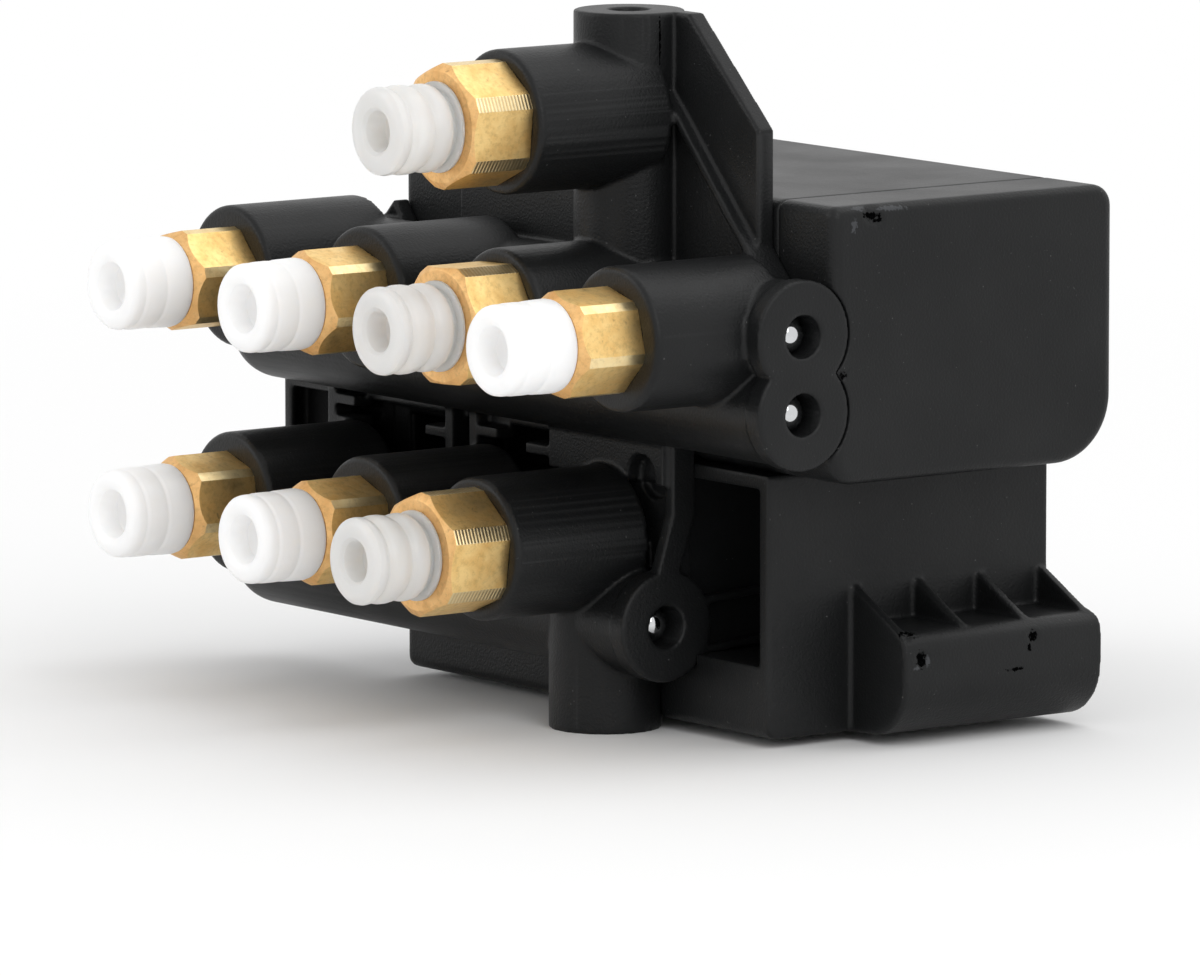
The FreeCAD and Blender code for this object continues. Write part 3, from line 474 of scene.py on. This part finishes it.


# Marks: (place, reach) in mm, read off the photo
# Box of painted shade: inside it the window's back wall and the blocks that close its gaps are painted near
# black without shine
WINDOW_PAINTED_SHADE = ((-39.15, 9.3, 26.3), (24.9, 7.3, 5.0))
TOWER_SEAM = ((5.74, -0.33, 72.9), (0.16, 0.16, 3.2))
# Gouges are real marks; their near-black colour is painted shade inside them
END_CAP_GOUGES_AND_SHADE = [
    ((29.6, 8.7, 56.1), (1.0, 1.5, 0.5)), ((29.7, 9.6, 55.6), (0.8, 0.7, 0.35)),
    ((29.9, 4.9, 39.9), (0.8, 0.75, 0.55))]
END_CAP_SMEARS = [
    ((29.3, 11.6, 56.7), (1.4, 2.4, 0.35)), ((29.0, 7.2, 56.9), (1.0, 1.4, 0.4)),
    ((29.8, 6.4, 55.2), (1.0, 0.5, 0.9))]
# Gouges are real marks; their near-black colour is painted shade inside them
BAR_GOUGES_AND_SHADE = [
    ((27.9, 16.7, 9.5), (0.9, 0.75, 1.2)), ((27.3, 15.6, 12.2), (1.3, 1.7, 0.6)),
    ((27.9, 31.5, 10.5), (0.8, 0.75, 0.75)), ((27.8, 29.2, 7.3), (0.9, 1.5, 0.3)),
    ((27.9, 31.0, 9.4), (0.8, 0.35, 0.6)), ((27.7, 13.6, 13.0), (1.0, 0.6, 0.4))]
BAR_SMEARS = [((27.9, 17.5, 9.1), (0.9, 0.35, 0.8)), ((27.9, 16.1, 8.6), (0.9, 0.5, 0.35))]

BLACK = plastic("black_plastic")
MANIFOLD_BLACK = plastic("manifold_plastic", gouges_and_shade=[TOWER_SEAM], painted_shades=[WINDOW_PAINTED_SHADE])
END_CAP_BLACK = plastic("end_cap_plastic", END_CAP_GOUGES_AND_SHADE, END_CAP_SMEARS)
BAR_BLACK = plastic("bar_plastic", BAR_GOUGES_AND_SHADE, BAR_SMEARS, [WINDOW_PAINTED_SHADE])
BRASS = brass("brass", (0.95, 0.68, 0.29), (0.80, 0.50, 0.17), 0.4)
BRASS_FACE = brass("brass_face", (0.84, 0.53, 0.23), (0.72, 0.42, 0.16), 0.46)
BRASS_CORNER = brass("brass_corner", (0.95, 0.76, 0.42), (0.86, 0.62, 0.28), 0.3)
BRASS_RIDGED = brass("brass_ridged", (0.97, 0.82, 0.52), (0.90, 0.70, 0.38), 0.3, ridged=True)
WHITE = cap_plastic("white_plastic", (0.97, 0.965, 0.96), (0.95, 0.94, 0.93), 0.0, 0.34)
FROSTED = cap_plastic("frosted_plastic", (0.95, 0.93, 0.905), (0.91, 0.885, 0.86), 0.3, 0.28)
CLEAR = cap_plastic("clear_flange", (0.90, 0.93, 0.92), (0.85, 0.88, 0.87), 0.45, 0.3)

# Finish of each plain slot: two tones, metallic, lowest and highest roughness, noise per metre, depth in mm
PLAIN_FINISHES = {
    "steel_ball": ((0.66, 0.67, 0.68), (0.58, 0.59, 0.60), 1, 0.06, 0.12, 700, 0.002),
    "steel": ((0.60, 0.61, 0.62), (0.50, 0.51, 0.52), 1, 0.25, 0.4, 900, 0.01),
    "zinc_plate": ((0.68, 0.69, 0.68), (0.58, 0.59, 0.58), 1, 0.3, 0.45, 300, 0.01),
    "winding": ((0.32, 0.10, 0.04), (0.20, 0.05, 0.02), 0.4, 0.2, 0.35, 2500, 0.03),
    "spring_wire": ((0.66, 0.67, 0.68), (0.56, 0.57, 0.58), 1, 0.18, 0.3, 1500, 0.004),
    "rubber": ((0.02, 0.02, 0.02), (0.03, 0.03, 0.03), 0, 0.6, 0.75, 800, 0.02),
    "circuit_board": ((0.02, 0.16, 0.07), (0.015, 0.12, 0.05), 0, 0.3, 0.4, 400, 0.01),
    "tin_pin": ((0.80, 0.80, 0.78), (0.72, 0.72, 0.70), 1, 0.15, 0.25, 1200, 0.003),
}
FINISHES = {"black_plastic": BLACK, "brass": BRASS, "white_plastic": WHITE, "frosted_plastic": FROSTED}
FINISHES.update({name: plain_finish(name, *values) for name, values in PLAIN_FINISHES.items()})


def dress_nodes():
    """Every CAD node that stays gets the finish of its slot."""
    slots = {entry["node"]: entry["material_slot"] for entry in frame["record"]["subparts"]}
    for name, piece in NODES.items():
        piece.data.materials.clear()
        piece.data.materials.append(FINISHES[slots[name]])


# Black mouldings

SMOOTH_PASSES = 3
EDGE_START, EDGE_RANGE = 0.16, 0.2  # how far a point stands out, as a share of the mesh spacing

# Corners of the two dark blocks that stand in for shade: they close the gaps above and beside the pocket in
# the lower housing, inside the window's painted shade
WINDOW_SHADE_STRIP = ((-46.5, 3.5, 28.6), (-35.5, 4.9, 31.5))
WINDOW_SHADE_LIP = ((-46.5, 3.5, 21.4), (-43.6, 4.5, 29.0))

# Dents: (place, radius, depth, direction) in mm
END_CAP_DENTS = [
    ((29.9, 4.9, 39.9), 0.7, 0.35, (-1, 0.3, 0)),
    ((29.6, 8.7, 56.3), 1.2, 0.4, (-0.6, 0, -0.8)),
    ((29.7, 9.6, 55.6), 0.8, 0.3, (-0.9, 0, -0.3))]
BAR_DENTS = [
    ((27.9, 16.7, 9.5), 0.9, 0.3, (-1, 0, 0)),
    ((27.6, 15.4, 12.0), 1.0, 0.25, (-1, 0, -0.4)),
    ((27.9, 31.5, 10.5), 0.8, 0.25, (-1, 0, 0))]

# Node, piece, material, mesh spacing in mm, most triangles, dark blocks joined to it that stand in for shade,
# dents
MOULDINGS = [
    ("manifold", "manifold_body", MANIFOLD_BLACK, 0.24, 198000, [WINDOW_SHADE_STRIP, WINDOW_SHADE_LIP], []),
    ("upper_housing", "upper_housing_shell", BLACK, 0.3, 150000, [], []),
    ("upper_end_cap", "upper_end_cap_shell", END_CAP_BLACK, 0.22, 150000, [], END_CAP_DENTS),
    ("lower_housing", "lower_housing_shell", BAR_BLACK, 0.25, 190000, [], BAR_DENTS)]


def edge_attribute(piece, spacing):
    """Store how far each point stands out from its neighbours, so that outer edges can be paler."""
    mesh = piece.data
    count = len(mesh.vertices)
    places = np.empty(count * 3)
    mesh.vertices.foreach_get("co", places)
    places = places.reshape(-1, 3)
    normals = np.empty(count * 3)
    mesh.vertices.foreach_get("normal", normals)
    pairs = np.empty(len(mesh.edges) * 2, dtype=np.int64)
    mesh.edges.foreach_get("vertices", pairs)
    first, second = pairs.reshape(-1, 2).T
    total = np.zeros((count, 3))
    met = np.zeros(count)
    for here, there in ((first, second), (second, first)):
        np.add.at(total, here, places[there])
        np.add.at(met, here, 1)
    stands = ((places - total / np.maximum(met, 1)[:, None]) * normals.reshape(-1, 3)).sum(1)
    attribute = mesh.attributes.new("edge", "FLOAT", "POINT")
    shares = (stands / (spacing * MM) - EDGE_START) / EDGE_RANGE
    attribute.data.foreach_set("value", np.clip(shares, 0, 1).astype(np.float32))


def press_dents(piece, dents):
    """Push the surface in round each dent, with a ragged floor."""
    for vertex in piece.data.vertices:
        for place, radius, depth, direction in dents:
            distance = (vertex.co - Vector(place) * MM).length / (radius * MM)
            if distance < 1:
                ragged = 0.8 + 0.4 * noise.noise(vertex.co * 1500)
                vertex.co += Vector(direction) * depth * MM * (1 - distance * distance) * ragged


def mouldings():
    """Softened copy of each moulding: fine even mesh, edges and corners eased, then thinned."""
    for node, name, material, spacing, triangles, shade_blocks, dents in MOULDINGS:
        piece = copy_of_node(node, name)
        # Dark blocks that stand in for shade, joined before remeshing
        for corners in shade_blocks:
            join_to(piece, box("block", *corners))
        add_modifier(piece, "REMESH", mode="VOXEL", voxel_size=spacing * MM, use_smooth_shade=True)
        add_modifier(piece, "SMOOTH", factor=0.5, iterations=SMOOTH_PASSES)
        apply_all(piece)
        count = sum(len(face.vertices) - 2 for face in piece.data.polygons)
        if count > triangles:
            add_modifier(piece, "DECIMATE", ratio=triangles / count)
            apply_all(piece)
        edge_attribute(piece, spacing)
        if dents:
            press_dents(piece, dents)
        dress(piece, [material], node)


# Port fittings, sizes in mm

FITTING_SIZES = {
    "large": dict(flats=12.0, corner_cut=0.9, length=7.4, face_radius=5.75, chamfer_radius=7.0, chamfer=0.9,
                  bore=3.0),
    "small": dict(flats=10.0, corner_cut=0.62, length=7.8, face_radius=4.65, chamfer_radius=6.2, chamfer=1.9,
                  bore=2.0),
}
STEM_LENGTH = 8.4
STEM_RADIUS = {"large": 4.9, "small": 3.9}
CORNER_SHARE = 1.04  # faces further out than this share of half the flats are cut corners
HEXAGON_TURNS = {"top": 54, "middle_1": 75, "middle_2": 32, "middle_3": 73, "middle_4": 44,
                 "bottom_1": 52, "bottom_2": 69, "bottom_3": 72}
FLAT, CORNER, FRONT = 0, 1, 2


def cut_corners(piece, length, width):
    """Cut the long edges of a hexagon bar flat."""
    take_up(piece)
    bpy.ops.object.mode_set(mode="EDIT")
    bpy.ops.mesh.select_mode(type="EDGE")
    bpy.ops.mesh.select_all(action="DESELECT")
    mesh = bmesh.from_edit_mesh(piece.data)
    for edge in mesh.edges:
        edge.select_set(abs(edge.verts[0].co.z - edge.verts[1].co.z) > length * 0.9 * MM)
    bmesh.update_edit_mesh(piece.data)
    bpy.ops.mesh.bevel(offset=width * MM, segments=1, affect="EDGES")
    bpy.ops.object.mode_set(mode="OBJECT")


def fitting_head(name, flats, corner_cut, length, face_radius, chamfer_radius, chamfer, bore):
    """Hexagon bar with its corners cut flat, a turned chamfer on its front and a bore."""
    deselect()
    bpy.ops.mesh.primitive_cylinder_add(vertices=6, radius=flats / math.sqrt(3) * MM, depth=length * MM,
                                        location=(0, 0, length / 2 * MM))
    piece = named(name)
    cut_corners(piece, length, corner_cut)
    combine(piece, "INTERSECT", turned_piece(name + "_turned", [
        (chamfer_radius, -1.0), (chamfer_radius, length - chamfer), (face_radius, length)], 128))
    combine(piece, "DIFFERENCE", turned_piece(name + "_hole", [(bore, -2.0), (bore, length + 1.0)]))
    add_modifier(piece, "BEVEL", width=0.09 * MM, segments=2, limit_method="ANGLE",
                 angle_limit=math.radians(22), harden_normals=False)
    apply_all(piece)
    finish_mesh(piece, 25)
    return piece


def fitting_stem(radius, bore):
    stem = turned_piece("stem", [(radius, 0.0), (radius, STEM_LENGTH)], 64)
    combine(stem, "DIFFERENCE", turned_piece("stem_hole", [(bore, -1.0), (bore, STEM_LENGTH + 1.0)], 64))
    return stem


def mark_faces(piece, flats):
    """Choose the material of the narrow cut corners and of the turned front."""
    reach = flats / 2 * CORNER_SHARE * MM
    for face in piece.data.polygons:
        outwards = Vector((face.normal.x, 0, face.normal.z)).normalized()
        if face.normal.y < -0.5:
            face.material_index = FRONT
        elif abs(face.normal.y) < 0.2 and face.center.y < 0:
            if Vector((face.center.x, 0, face.center.z)).dot(outwards) > reach:
                face.material_index = CORNER


def middle_of(node):
    low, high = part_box(node)
    return (low + high) / 2


def fittings():
    for port in PORTS:
        kind = "large" if port in LARGE_PORTS else "small"
        sizes = FITTING_SIZES[kind]
        head = fitting_head("head_" + port, **sizes)
        face_ports(head, HEXAGON_TURNS[port])
        stem = fitting_stem(STEM_RADIUS[kind], sizes["bore"])
        stem.data.transform(turned_by(-90, "X"))
        join_to(head, stem)
        mark_faces(head, sizes["flats"])
        axis = middle_of(port + "_cap")
        boss_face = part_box(port + "_fitting")[0].y + sizes["length"] * MM
        head.data.transform(Matrix.Translation((axis.x, boss_face, axis.z)))
        head.name = head.data.name = port + "_fitting_body"
        corner = BRASS_RIDGED if kind == "large" else BRASS_CORNER
        dress(head, [BRASS, corner, BRASS_FACE], port + "_fitting")


# Transport caps: outlines of (radius, depth) in mm from the mouth of the fitting

CAP_REACH = 7.7
FLANGE_END = 1.1
FROSTED_OUTLINE = [
    (2.9, -6.8), (2.9, 0.0), (4.55, 0.0), (4.7, 0.12), (4.7, 0.4), (4.55, 0.52), (4.0, 0.62), (3.95, 0.95),
    (4.2, 1.2), (4.45, 1.5), (4.56, 2.0), (4.56, 2.5), (4.46, 2.95), (4.2, 3.3), (4.16, 3.45), (4.26, 3.7),
    (4.5, 4.1), (4.6, 4.7), (4.6, 5.4), (4.5, 5.85), (4.26, 6.2), (4.24, 6.35), (4.34, 6.55), (4.52, 6.85),
    (4.56, 7.2), (4.48, 7.6), (4.2, 7.9), (3.7, 8.08), (3.1, 8.1), (2.5, 7.96), (2.15, 7.6), (2.0, 6.9),
    (1.9, 5.4), (1.0, 4.9),
]
WHITE_OUTLINE = [
    (1.9, -6.8), (1.9, 0.0), (4.5, 0.0), (4.74, 0.2), (4.82, 0.6), (4.8, 1.6), (4.76, 2.9), (4.72, 3.15),
    (4.66, 3.3), (4.66, 3.45), (4.7, 3.6), (4.73, 4.2), (4.72, 5.5), (4.68, 5.8), (4.62, 5.95), (4.62, 6.1),
    (4.66, 6.25), (4.66, 6.7), (4.58, 7.15), (4.3, 7.5), (3.85, 7.68), (3.4, 7.7), (2.95, 7.6), (2.6, 7.3),
    (2.4, 6.7), (2.3, 5.2), (1.3, 4.7),
]


def transport_caps():
    for port in PORTS:
        large = port in LARGE_PORTS
        cap = turned_piece(port + "_cap_body", FROSTED_OUTLINE if large else WHITE_OUTLINE)
        for face in cap.data.polygons:
            face.material_index = int(large and -0.1 < face.center.z / MM < FLANGE_END)
        finish_mesh(cap, 60)
        face_ports(cap)
        middle = middle_of(port + "_cap")
        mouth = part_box(port + "_cap")[0].y + CAP_REACH * MM
        cap.data.transform(Matrix.Translation((middle.x, mouth, middle.z)))
        if large:
            dress(cap, [FROSTED, CLEAR], port + "_cap")
        else:
            dress(cap, [WHITE], port + "_cap")


# Floor, light and camera

FLOOR_SIZE = 8
FLOOR_GREY = (0.90, 0.90, 0.90, 1)
SHADOW_START, SHADOW_END = 0.07, 0.4  # metres from the origin over which the floor fades to white
LIGHT_LEVEL = 0.85
LAMPS = [  # name, place, target, size, power
    ("top_light", (0.25, 0.45, 1.1), (0, 0, 0), (0.9, 0.9), 2.6),
    ("left_light", (-0.7, -1.0, 0.6), (0, 0, 0.03), (0.6, 0.6), 2.2),
    ("right_light", (1.0, -0.25, 0.7), (0, 0, 0.03), (0.5, 0.8), 3.2)]


def floor():
    """Pale floor that takes the shadow near the part and is plain white further off."""
    deselect()
    bpy.ops.mesh.primitive_plane_add(size=FLOOR_SIZE, location=(0, 0, 0))
    piece = bpy.context.object
    piece.name = "floor"
    material, tree, shader = new_material("pale_floor")
    shader.inputs["Base Color"].default_value = FLOOR_GREY
    shader.inputs["Roughness"].default_value = 0.9
    shader.inputs["Specular IOR Level"].default_value = 0.1
    glow = tree.nodes.new("ShaderNodeEmission")
    glow.inputs["Strength"].default_value = 1.0
    mix = tree.nodes.new("ShaderNodeMixShader")
    away = vector_maths(tree, "LENGTH", object_coordinates(tree))
    white = spread(tree, away, SHADOW_START, SHADOW_END)
    link(tree, maths(tree, "MULTIPLY", seen_ray(tree), white), mix.inputs["Fac"])
    link(tree, shader.outputs["BSDF"], mix.inputs[1])
    link(tree, glow.outputs["Emission"], mix.inputs[2])
    link(tree, mix.outputs["Shader"], tree.nodes["Material Output"].inputs["Surface"])
    piece.data.materials.append(material)


def world():
    """White where it is seen, and a little less light on the part."""
    made = bpy.data.worlds.new("studio")
    bpy.context.scene.world = made
    made.use_nodes = True
    tree = made.node_tree
    surround = tree.nodes["Background"]
    surround.inputs["Color"].default_value = (1, 1, 1, 1)
    link(tree, spread(tree, seen_ray(tree), 0.0, 1.0, LIGHT_LEVEL, 1.0), surround.inputs["Strength"])


def lamp(name, place, target, size, power):
    data = bpy.data.lights.new(name, "AREA")
    data.shape = "RECTANGLE"
    data.size, data.size_y = size
    data.energy = power
    made = bpy.data.objects.new(name, data)
    bpy.context.scene.collection.objects.link(made)
    made.location = place
    made.rotation_euler = (Vector(target) - Vector(place)).to_track_quat("-Z", "Y").to_euler()


def camera():
    """Camera of the photo: a long lens from 53 degrees round and 8 degrees up."""
    azimuth, elevation = math.radians(53.231), math.radians(7.873)
    distance = 1.2443
    sideways, upwards = 2.993 * MM, 12.347 * MM
    right = Vector((math.cos(azimuth), math.sin(azimuth), 0))
    forward = Vector((-math.sin(azimuth) * math.cos(elevation), math.cos(azimuth) * math.cos(elevation),
                      -math.sin(elevation)))
    up = right.cross(forward)
    aim = Vector((0, 0, 38 * MM)) - right * sideways - up * upwards
    data = bpy.data.cameras.new("camera")
    data.lens, data.sensor_width = 360, 36
    data.clip_start, data.clip_end = 0.01, 50
    made = bpy.data.objects.new("camera", data)
    bpy.context.scene.collection.objects.link(made)
    made.location = aim - forward * distance
    made.rotation_mode = "QUATERNION"
    made.rotation_quaternion = forward.to_track_quat("-Z", "Y")
    bpy.context.scene.camera = made


dress_nodes()
mouldings()
fittings()
transport_caps()
floor()
world()
for settings in LAMPS:
    lamp(*settings)
camera()
bpy.context.scene.view_settings.view_transform = "Standard"
